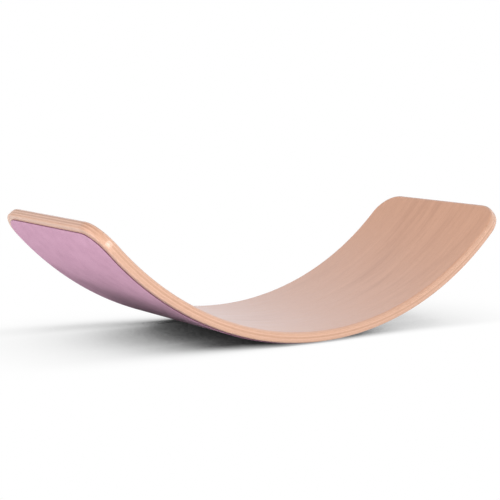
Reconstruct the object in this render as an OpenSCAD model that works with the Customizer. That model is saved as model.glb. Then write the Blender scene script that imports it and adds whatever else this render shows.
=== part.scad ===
// Rocking balance board: seven bent beech veneers glued into one curved shell,
// with a felt cover glued to its underside.
// Millimetres. +X runs along the board, +Y across it, +Z up.
// The origin lies on the floor under the middle of the board.

/* [Board] */
// Length of the board along its curve, halfway through the wood
board_length = 900; // [650:10:1200]
// Width of the board
board_width = 300; // [200:5:450]
// Radius of the curved face that is stood on
face_radius = 500; // [400:5:800]
// Radius of the four corners, seen square to the end of the board
corner_radius = 46; // [20:1:80]

/* [Lamination] */
// Thickness of one veneer
veneer_thickness = 2.3; // [1.2:0.1:3.2]
// Thickness of one cured glue line
glue_thickness = 0.1; // [0.06:0.02:0.3]

/* [Felt cover] */
// Thickness of the felt
felt_thickness = 2; // [1:0.1:5]
// Thickness of the adhesive film that holds the felt
adhesive_thickness = 0.1; // [0.06:0.02:0.3]
// Bare wood left all round between the felt and the edge of the board
felt_margin = 10; // [4:0.5:18]
// Width of the strip that the felt flattens to where it carries the board
rest_strip = 24; // [8:1:40]

/* [Hidden] */

// Curves are drawn with this many sides, so that their facets are far flatter than a glue line
$fn = 720;
// How far a cut runs past what it cuts
overrun = 5;

// The layers, counted from the face down
veneer_count = 7;
layer_pitch = veneer_thickness + glue_thickness;
wood_thickness = veneer_count * veneer_thickness + (veneer_count - 1) * glue_thickness;

// Radii of the layers under the wood, about the one axis that all layers share
adhesive_radius = face_radius + wood_thickness;
felt_radius = adhesive_radius + adhesive_thickness;
felt_outer_radius = felt_radius + felt_thickness;

// Half of the angle that the board spans, from its length halfway through the wood
half_length = board_length / 2;
middle_radius = face_radius + wood_thickness / 2;
board_half_angle = half_length / middle_radius * 180 / PI;

// The felt ends its margin short of the wood, along the face that it is glued to
felt_half_angle = board_half_angle - felt_margin / adhesive_radius * 180 / PI;
felt_width = board_width - 2 * felt_margin;
felt_corner_radius = corner_radius - felt_margin;

// The axis stands above the floor by the felt's radius, less what the flat strip takes off
axis_height = sqrt(pow(felt_outer_radius, 2) - pow(rest_strip / 2, 2));

beech_along = [0.90, 0.73, 0.58];
beech_across = [0.79, 0.60, 0.45];
glue_amber = [0.55, 0.38, 0.24];
film_grey = [0.80, 0.78, 0.74];
felt_mauve = [0.78, 0.61, 0.72];

// One corner's waste in plan: what lies outside the rounding, with the corner at the origin
module corner_waste(corner) {
    difference() {
        translate([-corner, -corner])
            square(corner + overrun);
        translate([-corner, -corner])
            circle(corner);
    }
}

// The waste of both corners of one end, cut square to the sheet at that end
module end_waste(outer_radius, half_angle, width, corner) {
    rotate([0, -half_angle, 0])
        for (side = [0, 1])
            mirror([0, side, 0])
                translate([0, width / 2, -outer_radius - overrun])
                    linear_extrude(outer_radius + overrun)
                        corner_waste(corner);
}

// A sheet bent about the shared axis, with four rounded corners
module bent_sheet(inner_radius, thickness, half_angle, width, corner) {
    translate([0, 0, axis_height])
        difference() {
            rotate([90, 0, 0])
                rotate([0, 0, -90 - half_angle])
                    rotate_extrude(angle = 2 * half_angle)
                        translate([inner_radius, -width / 2])
                            square([thickness, width]);
            for (end = [0, 1])
                mirror([end, 0, 0])
                    end_waste(inner_radius + thickness, half_angle, width, corner);
        }
}

// A wooden layer or a glue line: the full outline of the board
module board_layer(inner_radius, thickness) {
    bent_sheet(inner_radius, thickness, board_half_angle, board_width, corner_radius);
}

// A layer under the wood: the outline of the felt
module felt_layer(inner_radius, thickness) {
    bent_sheet(inner_radius, thickness, felt_half_angle, felt_width, felt_corner_radius);
}

// The veneer at a place in the stack, counted from 0 at the face
module veneer(place) {
    board_layer(face_radius + place * layer_pitch, veneer_thickness);
}

// The glue line under the veneer at that place
module glue_line(place) {
    color(glue_amber)
        board_layer(face_radius + place * layer_pitch + veneer_thickness, glue_thickness);
}

module face_veneer() {
    color(beech_along)
        veneer(0);
}

module upper_cross_veneer() {
    color(beech_across)
        veneer(1);
}

module upper_long_veneer() {
    color(beech_along)
        veneer(2);
}

module middle_cross_veneer() {
    color(beech_across)
        veneer(3);
}

module lower_long_veneer() {
    color(beech_along)
        veneer(4);
}

module lower_cross_veneer() {
    color(beech_across)
        veneer(5);
}

module back_veneer() {
    color(beech_along)
        veneer(6);
}

module felt_adhesive() {
    color(film_grey)
        felt_layer(adhesive_radius, adhesive_thickness);
}

// The felt is pressed flat where it carries the board on the floor
module felt_cover() {
    color(felt_mauve)
        difference() {
            felt_layer(felt_radius, felt_thickness);
            translate([-rest_strip, -board_width / 2, -felt_thickness])
                cube([2 * rest_strip, board_width, felt_thickness]);
        }
}

face_veneer();
upper_cross_veneer();
upper_long_veneer();
middle_cross_veneer();
lower_long_veneer();
lower_cross_veneer();
back_veneer();
glue_line(0);  // glue_line_1
glue_line(1);  // glue_line_2
glue_line(2);  // glue_line_3
glue_line(3);  // glue_line_4
glue_line(4);  // glue_line_5
glue_line(5);  // glue_line_6
felt_adhesive();
felt_cover();
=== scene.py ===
# %% [markdown]
# # A curved balance board in beech and felt
# The board is one arc of plywood: seven beech veneers, glued in a curved press, with the grain of every
# second one turned across the board. A sheet of felt is glued under it, so that it rocks without a sound.
# The frame that is loaded first holds every layer at its place and size. This lesson gives each layer its
# eased edge and its finish, and ends with a small studio to look at the board in.

# %% Load the frame
import math

import bmesh
import bpy
from mathutils import Color, Matrix, Vector


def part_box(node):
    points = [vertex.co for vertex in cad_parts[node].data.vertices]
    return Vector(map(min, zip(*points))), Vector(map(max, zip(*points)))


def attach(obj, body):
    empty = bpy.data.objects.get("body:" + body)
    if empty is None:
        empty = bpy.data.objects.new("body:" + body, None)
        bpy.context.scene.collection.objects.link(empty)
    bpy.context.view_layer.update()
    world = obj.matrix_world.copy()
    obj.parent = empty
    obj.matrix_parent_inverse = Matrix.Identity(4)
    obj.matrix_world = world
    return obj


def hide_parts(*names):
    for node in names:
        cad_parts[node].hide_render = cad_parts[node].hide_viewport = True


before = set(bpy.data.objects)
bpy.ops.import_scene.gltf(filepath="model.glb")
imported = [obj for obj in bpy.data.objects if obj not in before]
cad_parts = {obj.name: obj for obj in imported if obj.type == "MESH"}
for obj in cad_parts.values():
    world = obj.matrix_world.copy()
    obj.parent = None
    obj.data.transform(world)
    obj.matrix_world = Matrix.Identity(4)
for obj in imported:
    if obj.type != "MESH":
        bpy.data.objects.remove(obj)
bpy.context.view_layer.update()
print("layers in the frame:", len(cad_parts))

# %% [markdown]
# ## Sizes
# A bent board is easiest to think of flat. Its length is measured along the curve, halfway through the wood,
# because that surface keeps its length when the board is bent. All sizes are in metres.

# %% Sizes of the board
board_length = 0.900
board_width = 0.300
corner_radius = 0.046
face_radius = 0.500
veneer_thickness = 0.0023
glue_thickness = 0.0001
veneer_names = [
    "face_veneer",
    "upper_cross_veneer",
    "upper_long_veneer",
    "middle_cross_veneer",
    "lower_long_veneer",
    "lower_cross_veneer",
    "back_veneer",
]
layer_pitch = veneer_thickness + glue_thickness
wood_thickness = len(veneer_names) * layer_pitch - glue_thickness
half_wood = wood_thickness / 2
middle_radius = face_radius + half_wood
middle_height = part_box("back_veneer")[0].z + half_wood

# %% [markdown]
# ## Working as by hand
# Blender's operators act on what is selected, and in edit mode a new shape is selected all over. So each
# helper here first says what it works on: one object, or the edges that pass a test on their place.

# %% Helpers for selecting
def only(piece):
    """Leaves one object selected and active."""
    bpy.ops.object.select_all(action="DESELECT")
    piece.select_set(True)
    bpy.context.view_layer.objects.active = piece


def pick_edges(wanted):
    """In edit mode, selects the edges that pass the test, and nothing else."""
    bpy.ops.mesh.select_mode(type="EDGE")
    bpy.ops.mesh.select_all(action="DESELECT")
    mesh = bpy.context.object.data
    shape = bmesh.from_edit_mesh(mesh)
    for edge in shape.edges:
        edge.select = wanted(edge)
    bmesh.update_edit_mesh(mesh)


print("helpers for selecting are ready")

# %% [markdown]
# ## The plate
# Every layer starts as the same thing: a plate with round corners. A plane is drawn to size, its four
# corner points are bevelled into arcs, and it is extruded to its thickness.

# %% A flat plate with round corners
corner_steps = 16


def flat_plate(name, length, width, corner, low, high):
    """A plate with round corners between two heights, left in edit mode."""
    bpy.ops.object.select_all(action="DESELECT")
    bpy.ops.mesh.primitive_plane_add(size=1)
    plate = bpy.context.object
    plate.name = name
    bpy.ops.object.mode_set(mode="EDIT")
    bpy.ops.mesh.select_all(action="SELECT")
    bpy.ops.transform.resize(value=(length, width, 1))
    bpy.ops.transform.translate(value=(0, 0, low))
    bpy.ops.mesh.bevel(offset=corner, segments=corner_steps, affect="VERTICES")
    bpy.ops.mesh.select_all(action="SELECT")
    bpy.ops.mesh.extrude_region_move(TRANSFORM_OT_translate={"value": (0, 0, high - low)})
    bpy.ops.mesh.select_all(action="SELECT")
    bpy.ops.mesh.normals_make_consistent(inside=False)
    return plate


print("every corner is made of", corner_steps, "steps")

# %% [markdown]
# ## The eased rim
# On the real board a router and sandpaper take the sharpness off the rim, more of it on the face that is
# stood on than on the back. A bevel of the long loop of edges does the same. The two loops are found by
# their height, and the face gets more steps because its rounding is larger.

# %% The eased plywood, still flat and in one piece
face_easing = 0.006
face_easing_steps = 8
back_easing = 0.003
back_easing_steps = 5
height_slack = 0.01


def ease_rim(height, radius, steps):
    """In edit mode, rounds the rim's edges that lie at a height."""
    slack = radius * height_slack
    pick_edges(lambda edge: all(abs(point.co.z - height) < slack for point in edge.verts))
    bpy.ops.mesh.bevel(offset=radius, segments=steps, affect="EDGES")


plywood = flat_plate("plywood", board_length, board_width, corner_radius, -half_wood, half_wood)
ease_rim(half_wood, face_easing, face_easing_steps)
ease_rim(-half_wood, back_easing, back_easing_steps)
bpy.ops.object.mode_set(mode="OBJECT")

# %% [markdown]
# ## Veneers and glue lines
# The real board is glued first and eased afterwards, so every layer carries its own strip of the rounded
# rim. Cutting the eased plate into slices gives just that: a bisect above and one below, each filled to
# leave a closed layer.

# %% Cut the layers out of the plywood
smallest_gap = 1e-7
opposite_corner = 6


def box_of(piece):
    """An object's lowest and highest corners."""
    return Vector(piece.bound_box[0]), Vector(piece.bound_box[opposite_corner])


def slice_between(plate, name, low, high):
    """A copy of the plate's part between two heights, closed above and below."""
    only(plate)
    bpy.ops.object.duplicate()
    layer = bpy.context.object
    layer.name = name
    lowest, highest = box_of(plate)
    bpy.ops.object.mode_set(mode="EDIT")
    for height, upper in ((low, False), (high, True)):
        if lowest.z + smallest_gap < height < highest.z - smallest_gap:
            bpy.ops.mesh.select_all(action="SELECT")
            bpy.ops.mesh.bisect(
                plane_co=(0, 0, height),
                plane_no=(0, 0, 1),
                use_fill=True,
                clear_outer=upper,
                clear_inner=not upper,
                threshold=smallest_gap,
            )
    bpy.ops.object.mode_set(mode="OBJECT")
    return layer


layers = {}
for place, name in enumerate(veneer_names):
    top = half_wood - place * layer_pitch
    layers[name] = slice_between(plywood, name + "_eased", top - veneer_thickness, top)
for place in range(len(veneer_names) - 1):
    top = half_wood - place * layer_pitch - veneer_thickness
    name = f"glue_line_{place + 1}"
    layers[name] = slice_between(plywood, name + "_eased", top - glue_thickness, top)
bpy.data.objects.remove(plywood)
print("layers cut:", {name: len(layer.data.polygons) for name, layer in layers.items()})

# %% [markdown]
# ## The felt and its film
# The felt is cut with its own smaller outline, so that a rim of bare wood is left. It is glued with a thin
# film of the same outline. Only the felt's outer edge is soft: the edge at the wood stays sharp. The flat
# length here is the one at the wood's middle surface, where the bend changes no length.

# %% Flat felt and film
felt_thickness = 0.002
adhesive_thickness = 0.0001
felt_margin = 0.010
felt_easing = 0.0007
felt_easing_steps = 3
adhesive_radius = face_radius + wood_thickness
felt_flat_length = board_length - 2 * felt_margin * middle_radius / adhesive_radius
felt_width = board_width - 2 * felt_margin
felt_corner = corner_radius - felt_margin
felt_outline = (felt_flat_length, felt_width, felt_corner)
film_top = -half_wood
felt_top = film_top - adhesive_thickness
felt_low = felt_top - felt_thickness

layers["felt_adhesive"] = flat_plate("felt_film", *felt_outline, felt_top, film_top)
bpy.ops.object.mode_set(mode="OBJECT")
felt = flat_plate("felt_sheet", *felt_outline, felt_low, felt_top)
ease_rim(felt_low, felt_easing, felt_easing_steps)
bpy.ops.object.mode_set(mode="OBJECT")
layers["felt_cover"] = felt

# %% [markdown]
# ## Cuts across
# A long face can't bend: only the points at its ends would move. So every layer is cut across into narrow
# strips that can follow the curve. Each cut is a bisect that removes nothing.

# %% Strips along the board
strip_count = 96


def cut_strips(layer):
    """Cuts a layer across, all along it, so that it can follow the curve."""
    only(layer)
    length = layer.dimensions.x
    bpy.ops.object.mode_set(mode="EDIT")
    for strip in range(1, strip_count):
        bpy.ops.mesh.select_all(action="SELECT")
        bpy.ops.mesh.bisect(
            plane_co=(length * strip / strip_count - length / 2, 0, 0),
            plane_no=(1, 0, 0),
            threshold=smallest_gap,
        )
    bpy.ops.object.mode_set(mode="OBJECT")


for layer in layers.values():
    cut_strips(layer)
print("faces after the cuts:", sum(len(layer.data.polygons) for layer in layers.values()))

# %% [markdown]
# ## Notes for the finishes
# Wood grain follows the sheet and not the room, so the finishes have to know where a point lay before the
# board was bent, and which way its surface faced. Both are written on the flat mesh as attributes, which
# the bend leaves alone. A third attribute says how strongly a veneer shows its end grain, because no two
# sheets in a stack drink the same amount of lacquer.

# %% Flat place, flat normal and end grain of every layer
sharp_angle = math.radians(40)
end_grain_shares = dict(zip(veneer_names, (1.0, 0.24, 0.9, 0.42, 0.7, 0.16, 0.4)))
share_elsewhere = 0.5


def note_flat_shape(layer, end_grain_share):
    """Keeps the flat place, the flat normal and the strength of the end grain as attributes."""
    only(layer)
    bpy.ops.object.shade_smooth_by_angle(angle=sharp_angle)
    mesh = layer.data
    place = mesh.attributes.new("flat_place", "FLOAT_VECTOR", "POINT")
    place.data.foreach_set("vector", [value for point in mesh.vertices for value in point.co])
    facing = mesh.attributes.new("flat_normal", "FLOAT_VECTOR", "CORNER")
    facing.data.foreach_set("vector", [value for normal in mesh.corner_normals for value in normal.vector])
    depth = mesh.attributes.new("sheet_depth", "FLOAT", "POINT")
    depth.data.foreach_set("value", [end_grain_share] * len(mesh.vertices))


for name, layer in layers.items():
    note_flat_shape(layer, end_grain_shares.get(name, share_elsewhere))
print("layers with notes:", len(layers))

# %% [markdown]
# ## The press
# Simple Deform bends a mesh that lies along X about its Z axis. So each layer is set on its edge, bent by
# its own share of the curve and laid down again at its height above the floor. The wood's middle surface
# passes through the flat mesh's zero height, and keeps its length as it does in a real press.

# %% Bend every layer to the board's curve
quarter_turn = math.pi / 2


def apply_place(piece):
    """Moves an object's place and turn into its mesh."""
    only(piece)
    bpy.ops.object.transform_apply(location=True, rotation=True, scale=True)


def press(layer):
    """Bends a flat layer about the board's axis and lays it at its height."""
    layer.rotation_euler = (-quarter_turn, 0, 0)
    apply_place(layer)
    bend = layer.modifiers.new("press", "SIMPLE_DEFORM")
    bend.deform_method = "BEND"
    bend.deform_axis = "Z"
    bend.angle = layer.dimensions.x / middle_radius
    bpy.ops.object.modifier_apply(modifier=bend.name)
    layer.rotation_euler = (quarter_turn, 0, 0)
    layer.location = (0, 0, middle_height)
    apply_place(layer)


for name, layer in layers.items():
    press(layer)

# %% [markdown]
# ## Where the board stands
# A bent felt would touch the floor on a line. On the real board its weight presses the felt flat there, so
# a bisect at floor height takes the low part off and fills the cut.

# %% Flat strip under the felt
level_down = -0.99999
square_cm_per_square_m = 10_000

only(felt)
bpy.ops.object.mode_set(mode="EDIT")
bpy.ops.mesh.select_all(action="SELECT")
bpy.ops.mesh.bisect(
    plane_co=(0, 0, 0),
    plane_no=(0, 0, 1),
    use_fill=True,
    clear_inner=True,
    threshold=smallest_gap,
)
bpy.ops.object.mode_set(mode="OBJECT")
strip_area = sum(face.area for face in felt.data.polygons if face.normal.z < level_down)
print(f"felt strip on the floor: {strip_area * square_cm_per_square_m:.1f} square cm")

# %% [markdown]
# ## Smooth shading
# The broad faces should shade as smooth curves, and the rounding should stay in the rim. Weighted normals
# do that: a large face has more say in the normals at its corners than the narrow ones of the rim.

# %% Weighted normals
for layer in layers.values():
    only(layer)
    weigh = layer.modifiers.new("even shading", "WEIGHTED_NORMAL")
    weigh.keep_sharp = True
    bpy.ops.object.modifier_apply(modifier=weigh.name)
print("layers shaded smoothly:", len(layers))

# %% [markdown]
# ## Each layer stands for its node
# Every layer is fixed to the one body of the board and hides the plain solid of the same name. The felt is a
# sheet: it was cut flat and glued on.

# %% Tie the layers to the frame
for name, layer in layers.items():
    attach(layer, "root")
    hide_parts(name)

# %% [markdown]
# ## Building materials from nodes
# All finishes are made of nodes, so that they hold up at any distance. A few helpers keep the cells short:
# one adds a node and wires its inputs, and the others are the nodes that are needed again and again.

# %% Helpers for nodes
def add_node(tree, kind, inputs=(), **settings):
    """Adds a node; an input that is a socket is linked, any other is set."""
    made = tree.nodes.new("ShaderNode" + kind)
    for key, value in settings.items():
        setattr(made, key, value)
    for key, value in dict(inputs).items():
        if isinstance(value, bpy.types.NodeSocket):
            tree.links.new(value, made.inputs[key])
        else:
            made.inputs[key].default_value = value
    return made


def calculate(tree, operation, first, second=0.0):
    """A Math node's result."""
    return add_node(tree, "Math", {0: first, 1: second}, operation=operation).outputs[0]


def stretch(tree, place, scale):
    """A place multiplied axis by axis."""
    return add_node(tree, "VectorMath", {0: place, 1: scale}, operation="MULTIPLY").outputs[0]


def shift(tree, place, way):
    """A place moved along a way."""
    return add_node(tree, "VectorMath", {0: place, 1: way}, operation="ADD").outputs[0]


def remap(tree, value, start, end, low=0.0, high=1.0, curve="LINEAR"):
    """Turns the range from start to end into the range from low to high, held at both ends."""
    inputs = {"Value": value, "From Min": start, "From Max": end, "To Min": low, "To Max": high}
    return add_node(tree, "MapRange", inputs, interpolation_type=curve).outputs["Result"]


print("helpers for nodes are ready")

# %% [markdown]
# ### Mixing colours
# The Mix node keeps its sockets for numbers, vectors and colours one after another in a single list, so the
# ones for colours are told apart by their place in it.

# %% Helper for mixing colours
first_colour = 6
second_colour = 7
mixed_colour = 2


def blend_colours(tree, share, first, second, blend="MIX"):
    """Mixes two colours by a share."""
    inputs = {0: share, first_colour: first, second_colour: second}
    return add_node(tree, "Mix", inputs, data_type="RGBA", blend_type=blend).outputs[mixed_colour]


print("helper for mixing colours is ready")

# %% [markdown]
# ## Noise, attributes and colours
# Grain and felt are both built from soft noise, stretched more along one axis than along the others. The
# notes on the mesh come in through Attribute nodes. Colours are written as a picture shows them, from 0 to
# 255, and turned into the light values that Blender works with.

# %% Helpers for finishes
plain_detail = 2.0
plain_roughness = 0.5
full_level = 255


def noise(tree, place, scale, detail=plain_detail, roughness=plain_roughness, curl=0.0):
    """A soft noise with a scale of its own on each axis."""
    inputs = {
        "Vector": stretch(tree, place, scale),
        "Scale": 1.0,
        "Detail": detail,
        "Roughness": roughness,
        "Distortion": curl,
    }
    return add_node(tree, "TexNoise", inputs).outputs[0]


def note(tree, name, output="Vector"):
    """What the mesh has noted under a name."""
    return add_node(tree, "Attribute", attribute_name=name).outputs[output]


def linear(red, green, blue):
    """A colour as a picture shows it, in light values."""
    shown = Color((red / full_level, green / full_level, blue / full_level))
    return (*shown.from_srgb_to_scene_linear(), 1.0)


def new_finish(name):
    """A new material, its tree and its shader."""
    material = bpy.data.materials.new(name)
    material.use_nodes = True
    return material, material.node_tree, material.node_tree.nodes["Principled BSDF"]


def dress(layer, material):
    """Gives a layer one finish all over."""
    layer.data.materials.clear()
    layer.data.materials.append(material)


print("helpers for finishes are ready")

# %% [markdown]
# ## Beech
# Beech is a plain, even wood. Its figure is made of broad soft streaks where the veneer knife passed through
# growth rings, thinner dark ones between them, fine fibres and pores, and short brown dashes that are the
# rays. Long and cross veneers share all of it, so it is one node group that works in the fibre's own frame,
# with x along the fibre. A slow sway keeps the fibres from running dead straight.

# %% Node group for beech grain
noise_middle = 0.5
wander_scale = (6.0, 16.0, 40.0)
wander_reach = 0.014


def new_group(name, inputs, outputs):
    """Starts a shader node group and gives its tree, its inputs and its output node."""
    group = bpy.data.node_groups.new(name, "ShaderNodeTree")
    for socket, kind in inputs.items():
        group.interface.new_socket(socket, in_out="INPUT", socket_type="NodeSocket" + kind)
    for socket, kind in outputs.items():
        group.interface.new_socket(socket, in_out="OUTPUT", socket_type="NodeSocket" + kind)
    return group, group.nodes.new("NodeGroupInput").outputs, group.nodes.new("NodeGroupOutput")


def swing(tree, value, reach):
    """How far a noise lies from its middle, made as wide as the reach."""
    return calculate(tree, "MULTIPLY", calculate(tree, "SUBTRACT", value, noise_middle), reach)


grain, given, result = new_group(
    "beech grain",
    {
        "Place": "Vector",
        "End": "Float",
        "Edge": "Float",
        "Board End": "Float",
        "Depth": "Float",
        "Light": "Color",
        "Dark": "Color",
        "Tan": "Color",
    },
    {"Colour": "Color", "Roughness": "Float", "Height": "Float", "Lacquer": "Float"},
)
sway = swing(grain, noise(grain, given["Place"], wander_scale, detail=1.0), wander_reach)
aside = add_node(grain, "CombineXYZ", {"Y": sway}).outputs[0]
fibre_place = shift(grain, given["Place"], aside)
print("beech grain takes", [socket.name for socket in given if socket.name])

# %% [markdown]
# ### What the grain is made of
# Each part of the figure is a noise of its own, long along the fibre and narrow across it. The streaks do
# not cover the whole sheet: a slow noise says where they are present, and is shifted to put them where the
# real board has them. The rays are the middles of stretched cells.

# %% Streaks, fibres, pores and rays
streak_scale = (4.5, 56.0, 130.0)
streak_roughness = 0.45
thin_streak_scale = (6.0, 92.0, 260.0)
presence_scale = (4.0, 9.0, 60.0)
presence_shift = (-0.17, -0.1, 0.0)
fibre_scale = (9.0, 820.0, 500.0)
fibre_roughness = 0.6
pore_scale = (90.0, 1500.0, 1500.0)
fleck_scale = (150.0, 1000.0, 900.0)
fleck_edge = (0.12, 0.26)

streaks = noise(grain, fibre_place, streak_scale, roughness=streak_roughness)
thin_streaks = noise(grain, fibre_place, thin_streak_scale)
presence = noise(grain, shift(grain, fibre_place, presence_shift), presence_scale, detail=1.0)
fibres = noise(grain, fibre_place, fibre_scale, roughness=fibre_roughness)
pores = noise(grain, fibre_place, pore_scale, detail=1.0)
cells = {"Vector": stretch(grain, fibre_place, fleck_scale), "Scale": 1.0}
to_middle = add_node(grain, "TexVoronoi", cells).outputs["Distance"]
flecks = remap(grain, to_middle, *fleck_edge, 1.0, 0.0)
print("beech grain has", len(grain.nodes), "nodes so far")

# %% [markdown]
# ### Colour of the grain
# The parts of the figure are added up, and the sum picks a colour between the dark and the light of the
# wood. Where a cut meets the fibres' ends, the wood drinks more lacquer and turns tan, with dark pores and
# no rays.

# %% Long grain and end grain
streak_presence = (0.44, 0.64)
least_streaks = 0.06
streak_share = 0.8
thin_streak_level = 0.52
thin_streak_share = 1.6
fibre_share = 0.5
pore_share = 0.7
fleck_depth = 0.45
pore_edge = (0.35, 0.65)
pore_depth = 0.22

shown = remap(grain, presence, *streak_presence, least_streaks, 1.0)
broad_part = swing(grain, streaks, streak_share)
thin_part = calculate(grain, "MINIMUM", calculate(grain, "SUBTRACT", thin_streaks, thin_streak_level), 0.0)
thin_part = calculate(grain, "MULTIPLY", thin_part, thin_streak_share)
streak_part = calculate(grain, "MULTIPLY", calculate(grain, "ADD", broad_part, thin_part), shown)
fine_part = calculate(grain, "ADD", swing(grain, fibres, fibre_share), swing(grain, pores, pore_share))
figure = calculate(grain, "ADD", streak_part, fine_part)
figure = remap(grain, figure, -noise_middle, noise_middle)
long_grain = blend_colours(grain, figure, given["Dark"], given["Light"])
side_on = calculate(grain, "SUBTRACT", 1.0, given["End"])
fleck_share = calculate(grain, "MULTIPLY", calculate(grain, "MULTIPLY", flecks, side_on), fleck_depth)
long_grain = blend_colours(grain, fleck_share, long_grain, given["Tan"])
pore_shade = remap(grain, pores, *pore_edge, 1.0 - pore_depth, 1.0)
end_tan = blend_colours(grain, 1.0, given["Tan"], pore_shade, "MULTIPLY")
end_depth = calculate(grain, "MULTIPLY", given["End"], given["Depth"])
grain_colour = blend_colours(grain, end_depth, long_grain, end_tan)
print("beech grain has", len(grain.nodes), "nodes so far")

# %% [markdown]
# ### Rim and lacquer
# Sanding opens the wood of the rim, so it is less smooth and under more lacquer. Its colour is paler than
# the face, partly as sanded wood and partly as painted light. At the two ends of the board the rim is
# painted darker, a painted shade. Fibres and rays also show in the lacquer, as small changes of gloss and
# as the faintest relief.

# %% Rim, gloss and relief of the grain
# the rim's pale tint is partly sanded wood and partly painted light
sanded_and_painted_light_tint = (1.0, 1.14, 1.28, 1.0)
# the darker tint at the board's two ends is a painted shade
painted_end_shade_tint = (0.9, 0.98, 1.1, 1.0)
fibre_edge = (0.3, 0.7)
smooth_lacquer = 0.34
open_grain = 0.46
sanded_more = 0.16
face_lacquer = 0.4
edge_lacquer = 0.8
fleck_dip = 0.5

# painted light on the rim and painted shade at the board's ends go into the rim colour here
rim_tint_with_painted_light_and_shade = blend_colours(grain, given["Board End"], sanded_and_painted_light_tint, painted_end_shade_tint)
rim_colour_with_painted_light_and_shade = blend_colours(grain, 1.0, grain_colour, rim_tint_with_painted_light_and_shade, "MULTIPLY")
colour = blend_colours(grain, given["Edge"], grain_colour, rim_colour_with_painted_light_and_shade)
gloss = remap(grain, fibres, *fibre_edge, smooth_lacquer, open_grain)
gloss = calculate(grain, "ADD", gloss, calculate(grain, "MULTIPLY", given["Edge"], sanded_more))
relief = calculate(grain, "SUBTRACT", fibres, calculate(grain, "MULTIPLY", flecks, fleck_dip))
lacquer = remap(grain, given["Edge"], 0.0, 1.0, face_lacquer, edge_lacquer)
grain.links.new(colour, result.inputs["Colour"])
grain.links.new(gloss, result.inputs["Roughness"])
grain.links.new(relief, result.inputs["Height"])
grain.links.new(lacquer, result.inputs["Lacquer"])
print("beech grain has", len(grain.nodes), "nodes")

# %% [markdown]
# ## Long and cross veneers
# Both kinds of veneer are the same wood under the same satin lacquer. In the cross veneers the fibres run
# across the board, so the grain is turned a quarter and the long side of the board cuts their ends. The flat
# normal tells the rest: how squarely a point faces along the fibre, whether it lies on the rim, and whether
# that rim is one of the board's two ends.

# %% Two beech finishes
beech_light = linear(208, 158, 129)
beech_dark = linear(184, 135, 107)
end_grain_tan = linear(170, 118, 82)
end_facing = (0.35, 0.95)
face_facing = (0.7, 0.99)
relief_strength = 0.08
relief_depth = 0.0002
coat_roughness = 0.26


def beech_finish(name, fibre_along_board):
    """A lacquered beech whose fibres run along or across the board."""
    material, tree, shader = new_finish(name)
    place = note(tree, "flat_place")
    facing = add_node(tree, "SeparateXYZ", {0: note(tree, "flat_normal")}).outputs
    end = facing["X"]
    if not fibre_along_board:
        end = facing["Y"]
        turn = {"Vector": place, "Rotation": (0, 0, quarter_turn)}
        place = add_node(tree, "Mapping", turn).outputs[0]
    inputs = {
        "Place": place,
        "End": remap(tree, calculate(tree, "ABSOLUTE", end), *end_facing),
        "Edge": remap(tree, facing["Z"], *face_facing, 1.0, 0.0),
        # this mask puts the painted shade on the rim at the board's two ends
        "Board End": remap(tree, calculate(tree, "ABSOLUTE", facing["X"]), *end_facing),
        "Depth": note(tree, "sheet_depth", "Fac"),
        "Light": beech_light,
        "Dark": beech_dark,
        "Tan": end_grain_tan,
    }
    beech = add_node(tree, "Group", inputs, node_tree=grain).outputs
    relief = {"Height": beech["Height"], "Strength": relief_strength, "Distance": relief_depth}
    tree.links.new(beech["Colour"], shader.inputs["Base Color"])
    tree.links.new(beech["Roughness"], shader.inputs["Roughness"])
    tree.links.new(add_node(tree, "Bump", relief).outputs[0], shader.inputs["Normal"])
    tree.links.new(beech["Lacquer"], shader.inputs["Coat Weight"])
    shader.inputs["Coat Roughness"].default_value = coat_roughness
    return material


beech_along = beech_finish("beech_along_the_board", True)
beech_across = beech_finish("beech_across_the_board", False)
for name in veneer_names:
    dress(layers[name], beech_across if "cross" in name else beech_along)
print("veneers finished:", len(veneer_names))

# %% [markdown]
# ## Glue and film
# Cured wood glue shows on the sanded edge as a brown hairline that is a little darker in places, where the
# wood soaked it up. The film under the felt is a cloudy, pale sheet that is seen only as a hairline.

# %% Glue lines and adhesive film
cloud_detail = 3.0
cloud_edge = (0.3, 0.7)
duller = 0.15
glue_pale = linear(176, 120, 84)
glue_deep = linear(128, 80, 52)
glue_cloud = 0.004
glue_roughness = 0.4
film_pale = linear(214, 206, 196)
film_deep = linear(186, 174, 162)
film_cloud = 0.003
film_roughness = 0.5


def cloudy_finish(name, pale, deep, cloud_size, roughness):
    """A thin layer of one stuff, with soft clouds of a deeper colour."""
    material, tree, shader = new_finish(name)
    scale = (1 / cloud_size, 1 / cloud_size, 1 / cloud_size)
    clouds = noise(tree, note(tree, "flat_place"), scale, detail=cloud_detail)
    tree.links.new(blend_colours(tree, clouds, pale, deep), shader.inputs["Base Color"])
    gloss = remap(tree, clouds, *cloud_edge, roughness, roughness + duller)
    tree.links.new(gloss, shader.inputs["Roughness"])
    return material


glue_finish = cloudy_finish("cured_wood_glue", glue_pale, glue_deep, glue_cloud, glue_roughness)
film_finish = cloudy_finish("adhesive_film", film_pale, film_deep, film_cloud, film_roughness)
glue_lines = [layer for name, layer in layers.items() if "glue" in name]
for layer in glue_lines:
    dress(layer, glue_finish)
dress(layers["felt_adhesive"], film_finish)
print("glue lines finished:", len(glue_lines), "and one film")

# %% [markdown]
# ## Felt
# Wool felt has no weave. Fibres of slightly different mauves lie in all directions and are matted together,
# which gives a faint mottle, a soft nap and no shine. Two noises of curled hairs cross each other, and a
# finer one mats them together.

# %% Fibres of the felt
matting_scale = (420.0, 420.0, 420.0)
matting_detail = 5.0
matting_roughness = 0.7
matting_curl = 1.2
mottle_scale = (45.0, 45.0, 45.0)
hair_scale = (300.0, 2200.0, 600.0)
cross_hair_scale = (2200.0, 300.0, 600.0)
hair_curl = 2.0
hair_share = 0.3
mottle_share = 0.3
matting_share = 0.4

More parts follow.
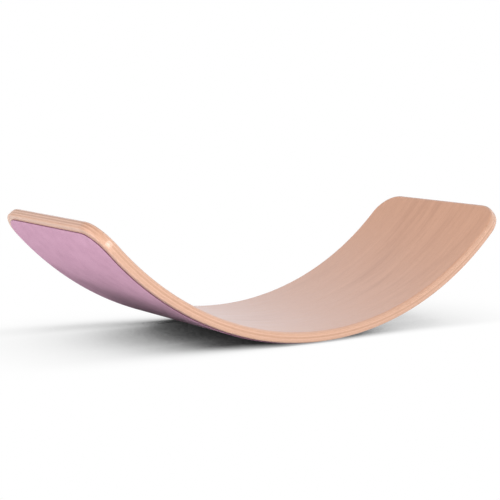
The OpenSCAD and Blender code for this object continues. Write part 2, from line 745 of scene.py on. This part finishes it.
felt_finish, felt_tree, felt_shader = new_finish("mauve_felt")
place = note(felt_tree, "flat_place")
matting = noise(felt_tree, place, matting_scale, matting_detail, matting_roughness, matting_curl)
mottle = noise(felt_tree, place, mottle_scale)
hairs = noise(felt_tree, place, hair_scale, curl=hair_curl)
cross_hairs = noise(felt_tree, place, cross_hair_scale, curl=hair_curl)
fluff = calculate(felt_tree, "MULTIPLY", calculate(felt_tree, "ADD", hairs, cross_hairs), hair_share)
nap = calculate(felt_tree, "ADD", fluff, calculate(felt_tree, "MULTIPLY", mottle, mottle_share))
nap = calculate(felt_tree, "ADD", nap, calculate(felt_tree, "MULTIPLY", matting, matting_share))
print("felt has", len(felt_tree.nodes), "nodes so far")

# %% [markdown]
# ### Colour and nap of the felt
# One measure, the nap, drives the colour, the roughness and the relief, because it is the same fibres that
# cause all three. The cut edge is painted dark, a painted shade, so that it reads as a dark line around
# the cover.

# %% Felt finish
felt_pale = linear(197, 154, 177)
felt_deep = linear(172, 129, 151)
# the dark colour of the felt's cut edge is a painted shade
felt_cut_painted_shade = linear(118, 80, 98)
nap_shades = (0.42, 0.72)
cut_facing = (0.25, 0.75)
nap_range = (0.3, 0.8)
least_rough = 0.85
nap_strength = 0.5
nap_depth = 0.0006
felt_sheen = {"Sheen Weight": 0.05, "Sheen Roughness": 0.5, "Specular IOR Level": 0.1}

face_colour = blend_colours(felt_tree, remap(felt_tree, nap, *nap_shades), felt_deep, felt_pale)
facing = add_node(felt_tree, "SeparateXYZ", {0: note(felt_tree, "flat_normal")}).outputs["Z"]
# where the felt faces sideways, the painted shade of the cut edge takes over
cut_painted_shade_share = remap(felt_tree, calculate(felt_tree, "ABSOLUTE", facing), *cut_facing, 1.0, 0.0)
felt_colour = blend_colours(felt_tree, cut_painted_shade_share, face_colour, felt_cut_painted_shade)
rough = remap(felt_tree, nap, *nap_range, least_rough, 1.0)
relief = {"Height": nap, "Strength": nap_strength, "Distance": nap_depth}
felt_tree.links.new(felt_colour, felt_shader.inputs["Base Color"])
felt_tree.links.new(rough, felt_shader.inputs["Roughness"])
felt_tree.links.new(add_node(felt_tree, "Bump", relief).outputs[0], felt_shader.inputs["Normal"])
for socket, value in felt_sheen.items():
    felt_shader.inputs[socket].default_value = value
dress(felt, felt_finish)
print("felt finished with", len(felt_tree.nodes), "nodes")

# %% [markdown]
# ## Floor
# The board stands on a white floor that runs into a white room, so that no horizon shows. The floor is one
# large plane, a hair below the felt so that the two never share a surface.

# %% The floor
floor_size = 24.0
floor_drop = 0.0003
floor_cuts = 3

bpy.ops.object.select_all(action="DESELECT")
bpy.ops.mesh.primitive_plane_add(size=floor_size)
floor = bpy.context.object
floor.name = "floor"
bpy.ops.object.mode_set(mode="EDIT")
bpy.ops.transform.translate(value=(0, 0, -floor_drop))
bpy.ops.mesh.subdivide(number_cuts=floor_cuts)
bpy.ops.object.mode_set(mode="OBJECT")
print("floor", floor_size, "m wide")

# %% [markdown]
# ### How much sky the floor sees
# A soft shadow is darkest where the board hides most of the sky. Ambient Occlusion measures that. It is
# measured twice, once straight up and once with the normal leaning in under the board, and the darker
# measure holds. That puts the deepest shade where the felt meets the floor.

# %% Open sky over the floor
sky_samples = 16
lean_reach = 0.2
level_reach = 0.3
lean_line = -0.05
lean_growth = 6.0
most_lean_back = 1.0
most_lean_forward = 1.3

floor_finish = bpy.data.materials.new("white_floor")
floor_finish.use_nodes = True
floor_tree = floor_finish.node_tree
floor_tree.nodes.remove(floor_tree.nodes["Principled BSDF"])
floor_place = add_node(floor_tree, "TexCoord").outputs["Object"]
floor_axes = add_node(floor_tree, "SeparateXYZ", {0: floor_place}).outputs
along = floor_axes["X"]
across = floor_axes["Y"]
lean = calculate(floor_tree, "SUBTRACT", lean_line, across)
lean = calculate(floor_tree, "MULTIPLY", lean, lean_growth)
lean = calculate(floor_tree, "MINIMUM", lean, most_lean_back)
lean = calculate(floor_tree, "MAXIMUM", lean, -most_lean_forward)
upward = add_node(floor_tree, "CombineXYZ", {"Y": lean, "Z": 1.0}).outputs[0]
upward = add_node(floor_tree, "VectorMath", {0: upward}, operation="NORMALIZE").outputs[0]
leaning = {"Distance": lean_reach, "Normal": upward}
leaning_sky = add_node(floor_tree, "AmbientOcclusion", leaning, samples=sky_samples).outputs["AO"]
level = {"Distance": level_reach}
level_sky = add_node(floor_tree, "AmbientOcclusion", level, samples=sky_samples).outputs["AO"]
open_sky = calculate(floor_tree, "MINIMUM", leaning_sky, level_sky)
print("floor has", len(floor_tree.nodes), "nodes so far")

# %% [markdown]
# ### The shade of the floor
# A colour ramp turns the open sky into the grey of a painted shadow. Just behind the board the real shadow is
# deeper than the measure says, and under its right half it is lighter, so the measure is raised to a power
# that swells there. In front of the board the painted shadow fades out towards a line set by place on the
# floor.

# %% Shade of the floor
behind_rise = (0.11, 0.17)
behind_fall = (0.175, 0.225)
behind_power = 1.9
right_rise = (0.0, 0.12)
right_fall = (0.2, 0.32)
right_power = 0.78
shade_steps = {
    0.03: 0.012,
    0.101: 0.05,
    0.147: 0.31,
    0.2: 0.49,
    0.26: 0.58,
    0.335: 0.71,
    0.45: 0.84,
    0.62: 0.92,
    0.9: 1.0,
}
ramp_middle = 0.5


def swell(tree, value, rise, fall, peak):
    """One outside, and the peak between the end of the rise and the start of the fall."""
    up = remap(tree, value, *rise, curve="SMOOTHSTEP")
    down = remap(tree, value, fall[1], fall[0], curve="SMOOTHSTEP")
    inside = calculate(tree, "MULTIPLY", up, down)
    return calculate(tree, "ADD", calculate(tree, "MULTIPLY", inside, peak - 1.0), 1.0)


behind = swell(floor_tree, across, behind_rise, behind_fall, behind_power)
right_half = swell(floor_tree, along, right_rise, right_fall, right_power)
shade_power = calculate(floor_tree, "MULTIPLY", behind, right_half)
shade = calculate(floor_tree, "POWER", open_sky, shade_power)
ramp = add_node(floor_tree, "ValToRGB", {0: shade})
steps = ramp.color_ramp.elements
while len(steps) < len(shade_steps):
    steps.new(ramp_middle)
for step, (position, grey) in zip(steps, shade_steps.items()):
    step.position = position
    step.color = (grey, grey, grey, 1.0)
print("shade of the floor in", len(steps), "steps")

# %% [markdown]
# ### What is seen and what lights
# To the camera and to reflections the floor glows white with its painted shadow. To the light it is matt, and
# its bounce colour is painted darker where the board hides the sky, a painted shade. Light Path tells the two
# apart, so that a white floor does not mean more light on the board.

# %% Floor finish
plain_white = (1.0, 1.0, 1.0, 1.0)
shadow_fade_span = (-0.1, 0.1)
shadow_gone_line = (-0.19, -0.158)
shade_span = (-0.115, -0.06)
shaded_line = (-0.09, -0.112)
bounce_sky = (0.3, 0.5)
least_bounce = 0.02
floor_bounce = 0.82


def seen_directly(tree):
    """One for rays from the camera, from a reflection or through glass, and nought for all others."""
    rays = add_node(tree, "LightPath").outputs
    seen = calculate(tree, "ADD", rays["Is Camera Ray"], rays["Is Glossy Ray"])
    seen = calculate(tree, "ADD", seen, rays["Is Transmission Ray"])
    return calculate(tree, "MINIMUM", seen, 1.0)


# the painted shadow fades out in front of the board by place along the floor, not by any lamp
shadow_gone_at = remap(floor_tree, along, *shadow_fade_span, *shadow_gone_line)
shaded_from = remap(floor_tree, along, *shade_span, *shaded_line)
painted_shadow_share = remap(floor_tree, across, shadow_gone_at, shaded_from, curve="SMOOTHSTEP")
# the floor's glowing white carries the painted shadow
shaded = blend_colours(floor_tree, painted_shadow_share, plain_white, ramp.outputs["Color"])
white = add_node(floor_tree, "Emission", {"Color": shaded, "Strength": 1.0}).outputs[0]
# painted shade in the floor's bounce colour, darker where the board hides the sky
bounce = remap(floor_tree, open_sky, *bounce_sky, least_bounce, floor_bounce)
matt = add_node(floor_tree, "BsdfDiffuse", {"Color": bounce}).outputs[0]
choice = {0: seen_directly(floor_tree), 1: matt, 2: white}
surface = add_node(floor_tree, "MixShader", choice).outputs[0]
floor_tree.links.new(surface, floor_tree.nodes["Material Output"].inputs["Surface"])
floor.data.materials.append(floor_finish)
print("floor finished with", len(floor_tree.nodes), "nodes")

# %% [markdown]
# ## Room
# The room is white in the same way: white to the camera and in reflections, and a lower, plain light on the
# board. An even light from all round is what a white studio gives.

# %% White room
room_light = 0.43

world = bpy.data.worlds.new("white_room")
bpy.context.scene.world = world
world.use_nodes = True
background = world.node_tree.nodes["Background"]
background.inputs["Color"].default_value = plain_white
strength = remap(world.node_tree, seen_directly(world.node_tree), 0.0, 1.0, room_light, 1.0)
world.node_tree.links.new(strength, background.inputs["Strength"])
print("room lights at", room_light)

# %% [markdown]
# ## Low spot
# On the left the felt's light ends in a round line above the floor, as the edge of a lamp's beam does. A spot
# low on the left makes it: it is tilted up, so that its round beam passes over the floor and grazes the
# felt.

# %% The low spot
spot_place = (-2.4, -0.1, 0.04)
spot_aim = Vector((-0.3, -0.05, 0.56))
spot_level = 0.33
spot_radius = 0.012
spot_softness = 0.03
beam_radius = 0.503


def turn_lamp(lamp, toward):
    """Turns a lamp to shine along a direction, and hides the lamp itself from the camera."""
    lamp.rotation_euler = toward.to_track_quat("-Z", "Y").to_euler()
    lamp.visible_camera = False


bpy.ops.object.light_add(type="SPOT", location=spot_place)
spot = bpy.context.object
spot.name = "low_spot"
toward = spot_aim - spot.location
spot.data.shadow_soft_size = spot_radius
spot.data.spot_size = 2 * math.atan(beam_radius / toward.length)
spot.data.spot_blend = spot_softness
spot.data.energy = spot_level * (2 * math.pi * toward.length) ** 2
turn_lamp(spot, toward)
print(f"low spot at {spot.data.energy:.1f} W")

# %% [markdown]
# ## Soft lamps
# The rest is the light of a catalogue studio. A long lamp in front and two on the left light what the
# picture shows, and those at the right, behind and far back keep the other sides readable. Two small lamps
# are there for what the lacquer mirrors: one draws the bright line on the eased edge, the other the glint
# on the left corner. The strong lamps are hidden from reflections, because a satin lacquer that is seen at
# a low angle turns white under them.

# %% Eight soft lamps
board_middle = Vector((0.0, 0.0, 0.1))
white_light = (1.0, 1.0, 1.0)
cool_light = (0.4, 0.66, 1.0)


def soft_lamp(name, place, size, level, colour=white_light, mirrored=True):
    """A lamp aimed at the board, with the share of full light that it brings there."""
    bpy.ops.object.light_add(type="AREA", location=place)
    lamp = bpy.context.object
    lamp.name = name
    lamp.data.shape = "RECTANGLE"
    lamp.data.size, lamp.data.size_y = size
    lamp.data.color = colour
    lamp.visible_glossy = mirrored
    toward = board_middle - lamp.location
    lamp.data.energy = level * (math.pi * toward.length) ** 2
    turn_lamp(lamp, toward)
    return lamp


soft_lamp("top_lamp", place=(-1.2, -0.1, 2.3), size=(1.2, 1.2), level=0.27, mirrored=False)
soft_lamp("left_lamp", place=(-2.2, -0.3, 0.9), size=(1.4, 0.6), level=0.12)
glint_lamp = soft_lamp("glint_lamp", place=(-0.12, -2.3, 0.86), size=(0.25, 0.25), level=0.17)
soft_lamp("rim_lamp", place=(1.65, 0.0, 1.4), size=(0.6, 0.9), level=0.06)
soft_lamp("front_lamp", place=(-0.7, -2.3, 0.5), size=(3.5, 0.6), level=0.84, mirrored=False)
soft_lamp("right_lamp", place=(2.3, -0.2, 0.4), size=(1.4, 0.6), level=0.4, mirrored=False)
soft_lamp("rear_lamp", place=(0.3, 2.4, 0.3), size=(3.0, 0.4), level=0.5, mirrored=False)
soft_lamp("back_lamp", place=(1.8, 2.5, 0.9), size=(3.5, 3.5), level=0.14, colour=cool_light)
print("lamps set:", len(bpy.data.lights))

# %% [markdown]
# ## A lamp for the rim alone
# The glint lamp is small and bright. From behind, the whole face would mirror it at a low angle and turn
# white. Light linking keeps the lamp to the veneers under the face, which show nothing but their edges.

# %% Link the glint lamp to the rim
rim_layers = bpy.data.collections.new("rim_layers")
for name in veneer_names[1:]:
    rim_layers.objects.link(layers[name])
glint_lamp.light_linking.receiver_collection = rim_layers

# %% [markdown]
# ## Camera
# The camera stands to the front left, a little above the board's edge, with a long lens. Its place was
# found by fitting the board's outline to the picture: a direction, a small roll and a distance to the
# point that it looks at.

# %% The photograph's view
view_azimuth = math.radians(35.66)
view_elevation = math.radians(6.58)
view_roll = math.radians(1.32)
view_distance = 2.20585
view_point = Vector((-0.0276, 0.0, 0.13089))
focal_length_pixels = 1365.81
picture_pixels = 500
sensor_width = 36.0

look = Vector(
    (
        math.sin(view_azimuth) * math.cos(view_elevation),
        math.cos(view_azimuth) * math.cos(view_elevation),
        -math.sin(view_elevation),
    )
)
sideways = Vector((math.cos(view_azimuth), -math.sin(view_azimuth), 0.0))
upright = sideways.cross(look)
right = sideways * math.cos(view_roll) + upright * math.sin(view_roll)
up = upright * math.cos(view_roll) - sideways * math.sin(view_roll)
axes = Matrix((right, up, -look)).transposed()

bpy.ops.object.camera_add()
camera = bpy.context.object
camera.name = "camera"
camera.data.sensor_width = sensor_width
camera.data.lens = sensor_width * focal_length_pixels / picture_pixels
camera.matrix_world = Matrix.Translation(view_point - look * view_distance) @ axes.to_4x4()
bpy.context.scene.camera = camera
bpy.context.scene.view_settings.view_transform = "Standard"
print("lens", round(camera.data.lens, 2), "mm")
